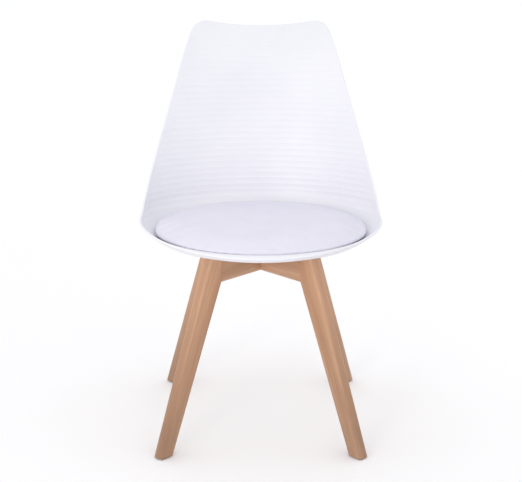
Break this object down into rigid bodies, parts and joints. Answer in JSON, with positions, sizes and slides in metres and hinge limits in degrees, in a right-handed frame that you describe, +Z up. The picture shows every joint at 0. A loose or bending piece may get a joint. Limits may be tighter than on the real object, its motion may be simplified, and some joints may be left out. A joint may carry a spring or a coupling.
{
  "type": "dining chair",
  "caption": "Dining chair with a ribbed bucket-shaped white shell, a round padded seat and a splayed wooden base of two crossing leg frames",
  "frame": {"origin": "on the floor, at the middle of the bottom of the chair's box", "axes": "+Z up the longest way; +X across the chair the shortest way, to the sitter's left, which is on the right as seen facing the chair's front; the chair faces -Y"},
  "size_m": [0.4927, 0.5143, 0.8063],
  "materials": {
    "shell": "satin white moulded polypropylene, finely ribbed across the back",
    "pad_cover": "smooth white leatherette with a faint grain",
    "foam": "soft foam",
    "plywood": "bare plywood",
    "wood": "beech with a clear satin lacquer",
    "dowels": "bare beech",
    "fasteners": "zinc plated",
    "inserts": "plain",
    "dark_plastic": "matt black nylon"
  },
  "bodies": {
    "root": {"seat_shell": "shell", "pad_cover": "pad_cover", "pad_foam": "foam", "pad_board": "plywood", "pad_screw_1": "fasteners", "pad_screw_2": "fasteners", "pad_screw_3": "fasteners", "pad_screw_4": "fasteners", "leg_left_front": "wood", "leg_right_front": "wood", "leg_right_rear": "wood", "leg_left_rear": "wood", "rail_upper": "wood", "rail_lower": "wood", "dowel_left_front_low": "dowels", "dowel_left_front_high": "dowels", "dowel_right_front_low": "dowels", "dowel_right_front_high": "dowels", "dowel_right_rear_low": "dowels", "dowel_right_rear_high": "dowels", "dowel_left_rear_low": "dowels", "dowel_left_rear_high": "dowels", "bolt_left_front": "fasteners", "flat_washer_left_front": "fasteners", "spring_washer_left_front": "fasteners", "spacer_left_front": "dark_plastic", "threaded_insert_left_front": "inserts", "foot_glide_left_front": "dark_plastic", "bolt_right_front": "fasteners", "flat_washer_right_front": "fasteners", "spring_washer_right_front": "fasteners", "spacer_right_front": "dark_plastic", "threaded_insert_right_front": "inserts", "foot_glide_right_front": "dark_plastic", "bolt_right_rear": "fasteners", "flat_washer_right_rear": "fasteners", "spring_washer_right_rear": "fasteners", "spacer_right_rear": "dark_plastic", "threaded_insert_right_rear": "inserts", "foot_glide_right_rear": "dark_plastic", "bolt_left_rear": "fasteners", "flat_washer_left_rear": "fasteners", "spring_washer_left_rear": "fasteners", "spacer_left_rear": "dark_plastic", "threaded_insert_left_rear": "inserts", "foot_glide_left_rear": "dark_plastic"}
  },
  "joints": []
}
